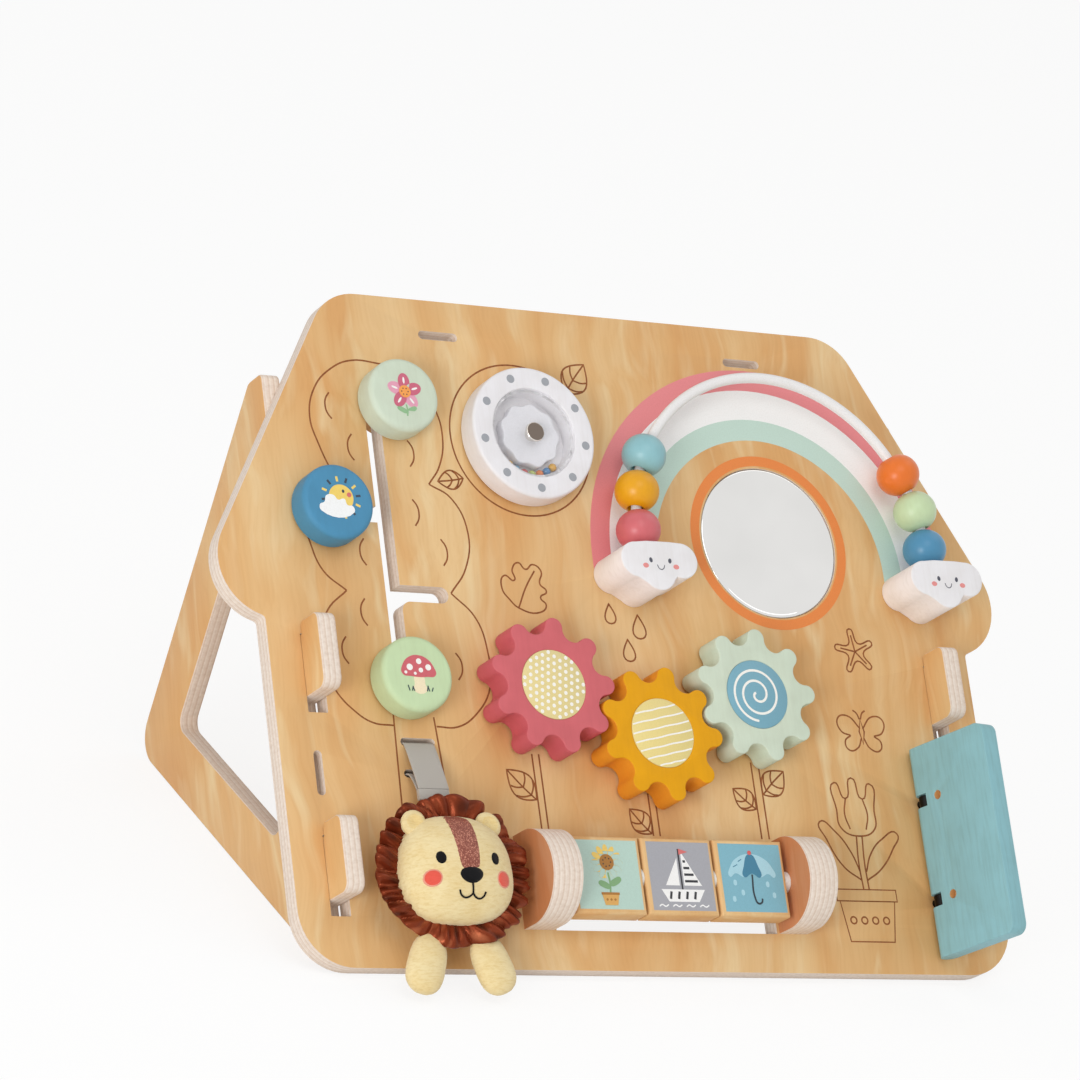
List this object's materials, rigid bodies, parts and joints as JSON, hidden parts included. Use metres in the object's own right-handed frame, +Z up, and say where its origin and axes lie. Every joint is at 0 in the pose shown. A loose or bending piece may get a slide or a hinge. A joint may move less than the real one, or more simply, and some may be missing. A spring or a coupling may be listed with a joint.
{
  "type": "wooden busy board",
  "caption": "House-shaped wooden busy board on two hook-in legs, with meshed gears, rattle wheel, knob maze, bead arch, mirror, turning tiles, hinged door and plush lion.",
  "frame": {"origin": "on the floor, under the middle of the part's bounding box", "axes": "+Z up, +X to the right as the child sees the board, -Y towards the child"},
  "size_m": [0.4096, 0.25, 0.2318],
  "materials": {
    "birch_ply": "clear satin lacquer over warm plywood with pale layered edges",
    "bare_ply": "lacquered plywood seen on its layered edges",
    "mint_paint": "water-based satin paint on beech",
    "blue_paint": "water-based satin paint on beech",
    "green_paint": "water-based satin paint on beech",
    "white_paint": "water-based satin paint on wood",
    "rose_paint": "water-based satin paint on wood",
    "amber_paint": "water-based satin paint on wood",
    "pale_mint_paint": "water-based satin paint on wood",
    "cream_paint": "printed satin disc",
    "teal_paint": "water-based satin paint with a print",
    "grey_paint": "water-based satin paint with a print",
    "sky_paint": "water-based satin paint on wood",
    "orange_paint": "water-based satin paint on beech",
    "white_sleeve": "white plastic skin on a bent rod",
    "grey_plastic": "satin moulded plastic",
    "clear_plastic": "clear moulded plastic",
    "bead_plastic": "small gloss beads in several colours",
    "white_plastic": "satin moulded plastic",
    "nickel": "nickel-plated steel",
    "zinc_screws": "zinc-plated steel",
    "safety_mirror": "shatter-proof plastic mirror",
    "black_steel": "black oxide",
    "grey_ribbon": "grosgrain ribbon",
    "cream_plush": "short plush pile",
    "brown_satin": "gathered satin"
  },
  "bodies": {
    "board": {"board": "birch_ply", "wheel_axle": "nickel", "wheel_washer": "white_plastic", "wheel_nut": "nickel", "gear_axles": "nickel", "gear_washers": "white_plastic", "gear_nuts": "nickel", "tile_rod": "nickel", "tile_washers": "white_plastic", "left_cheek": "bare_ply", "right_cheek": "bare_ply", "cheek_screws": "zinc_screws", "arch_rod": "white_sleeve", "left_cloud": "white_paint", "right_cloud": "white_paint", "cloud_screws": "zinc_screws", "mirror": "safety_mirror", "hinge_eyes": "black_steel", "hinge_pins": "nickel", "ribbon_loop": "grey_ribbon"},
    "left_leg": {"left_leg": "birch_ply"},
    "right_leg": {"right_leg": "birch_ply"},
    "top_knob": {"top_knob": "mint_paint", "top_knob_keeper": "bare_ply", "top_knob_screw": "zinc_screws"},
    "left_knob": {"left_knob": "blue_paint", "left_knob_keeper": "bare_ply", "left_knob_screw": "zinc_screws"},
    "low_knob": {"low_knob": "green_paint", "low_knob_keeper": "bare_ply", "low_knob_screw": "zinc_screws"},
    "wheel": {"wheel_ring": "white_paint", "wheel_hub": "grey_plastic", "wheel_window": "clear_plastic", "rattle_beads": "bead_plastic"},
    "left_gear": {"left_gear": "rose_paint", "left_gear_disc": "cream_paint"},
    "middle_gear": {"middle_gear": "amber_paint", "middle_gear_disc": "cream_paint"},
    "right_gear": {"right_gear": "pale_mint_paint", "right_gear_disc": "teal_paint"},
    "left_tile": {"left_tile": "mint_paint"},
    "middle_tile": {"middle_tile": "grey_paint"},
    "right_tile": {"right_tile": "teal_paint"},
    "left_bead_top": {"left_bead_top": "sky_paint"},
    "left_bead_middle": {"left_bead_middle": "amber_paint"},
    "left_bead_low": {"left_bead_low": "rose_paint"},
    "right_bead_top": {"right_bead_top": "orange_paint"},
    "right_bead_middle": {"right_bead_middle": "green_paint"},
    "right_bead_low": {"right_bead_low": "blue_paint"},
    "door": {"door": "sky_paint"},
    "ribbon_tab": {"ribbon_tab": "grey_ribbon"},
    "lion": {"lion_head": "cream_plush", "lion_mane": "brown_satin", "lion_ears": "cream_plush", "lion_feet": "cream_plush"}
  },
  "joints": [
    {"name": "left_leg_drop", "type": "slide", "parent": "board", "child": "left_leg", "axis": [0, -0.6884, -0.7254], "range_m": [0, 0.006]},
    {"name": "right_leg_drop", "type": "slide", "parent": "board", "child": "right_leg", "axis": [0, -0.6884, -0.7254], "range_m": [0, 0.006]},
    {"name": "top_knob_slide", "type": "slide", "parent": "board", "child": "top_knob", "axis": [-1, 0, 0], "range_m": [0, 0.0101]},
    {"name": "left_knob_slide", "type": "slide", "parent": "board", "child": "left_knob", "axis": [1, 0, 0], "range_m": [0, 0.0293]},
    {"name": "low_knob_slide", "type": "slide", "parent": "board", "child": "low_knob", "axis": [0, 0.6884, 0.7254], "range_m": [0, 0.0414]},
    {"name": "wheel_spin", "type": "hinge", "parent": "board", "child": "wheel", "pos_m": [-0.0448, 0.07319, 0.18491], "axis": [0, -0.7254, 0.6884], "continuous": true},
    {"name": "left_gear_spin", "type": "hinge", "parent": "board", "child": "left_gear", "pos_m": [-0.0535, -0.00995, 0.09787], "axis": [0, -0.7254, 0.6884], "continuous": true},
    {"name": "middle_gear_spin", "type": "hinge", "parent": "board", "child": "middle_gear", "pos_m": [0, -0.02388, 0.08319], "axis": [0, -0.7254, 0.6884], "continuous": true},
    {"name": "right_gear_spin", "type": "hinge", "parent": "board", "child": "right_gear", "pos_m": [0.0535, -0.00995, 0.09787], "axis": [0, -0.7254, 0.6884], "continuous": true},
    {"name": "left_tile_turn", "type": "hinge", "parent": "board", "child": "left_tile", "pos_m": [-0.0388, -0.07569, 0.04109], "axis": [1, 0, 0], "continuous": true},
    {"name": "middle_tile_turn", "type": "hinge", "parent": "board", "child": "middle_tile", "pos_m": [-0.0012, -0.07569, 0.04109], "axis": [1, 0, 0], "continuous": true},
    {"name": "right_tile_turn", "type": "hinge", "parent": "board", "child": "right_tile", "pos_m": [0.0364, -0.07569, 0.04109], "axis": [1, 0, 0], "continuous": true},
    {"name": "left_bead_top_slide", "type": "hinge", "parent": "board", "child": "left_bead_top", "pos_m": [0.0825, 0.0351, 0.16205], "axis": [0, -0.7254, 0.6884], "range_deg": [-112, 0]},
    {"name": "left_bead_middle_slide", "type": "hinge", "parent": "board", "child": "left_bead_middle", "pos_m": [0.0825, 0.0351, 0.16205], "axis": [0, -0.7254, 0.6884], "range_deg": [-112, 0]},
    {"name": "left_bead_low_slide", "type": "hinge", "parent": "board", "child": "left_bead_low", "pos_m": [0.0825, 0.0351, 0.16205], "axis": [0, -0.7254, 0.6884], "range_deg": [-112, 0]},
    {"name": "right_bead_top_slide", "type": "hinge", "parent": "board", "child": "right_bead_top", "pos_m": [0.0825, 0.0351, 0.16205], "axis": [0, -0.7254, 0.6884], "range_deg": [0, 112]},
    {"name": "right_bead_middle_slide", "type": "hinge", "parent": "board", "child": "right_bead_middle", "pos_m": [0.0825, 0.0351, 0.16205], "axis": [0, -0.7254, 0.6884], "range_deg": [0, 112]},
    {"name": "right_bead_low_slide", "type": "hinge", "parent": "board", "child": "right_bead_low", "pos_m": [0.0825, 0.0351, 0.16205], "axis": [0, -0.7254, 0.6884], "range_deg": [0, 112]},
    {"name": "door_swing", "type": "hinge", "parent": "board", "child": "door", "pos_m": [0.146, -0.09438, 0.01472], "axis": [0, 0.6884, 0.7254], "range_deg": [-100, 24]},
    {"name": "ribbon_swing", "type": "hinge", "parent": "board", "child": "ribbon_tab", "pos_m": [-0.117, -0.02584, 0.07968], "axis": [0, -0.7254, 0.6884], "range_deg": [-3.5, 3.5]},
    {"name": "lion_lift", "type": "hinge", "parent": "ribbon_tab", "child": "lion", "pos_m": [-0.117, -0.04837, 0.06756], "axis": [-1, 0, 0], "range_deg": [0, 75]}
  ],
  "couplings": [
    {"joint": "middle_gear_spin", "follows": "left_gear_spin", "ratio": -1},
    {"joint": "right_gear_spin", "follows": "left_gear_spin", "ratio": 1},
    {"joint": "left_bead_middle_slide", "follows": "left_bead_top_slide", "ratio": 1},
    {"joint": "left_bead_low_slide", "follows": "left_bead_top_slide", "ratio": 1},
    {"joint": "right_bead_middle_slide", "follows": "right_bead_top_slide", "ratio": 1},
    {"joint": "right_bead_low_slide", "follows": "right_bead_top_slide", "ratio": 1}
  ]
}
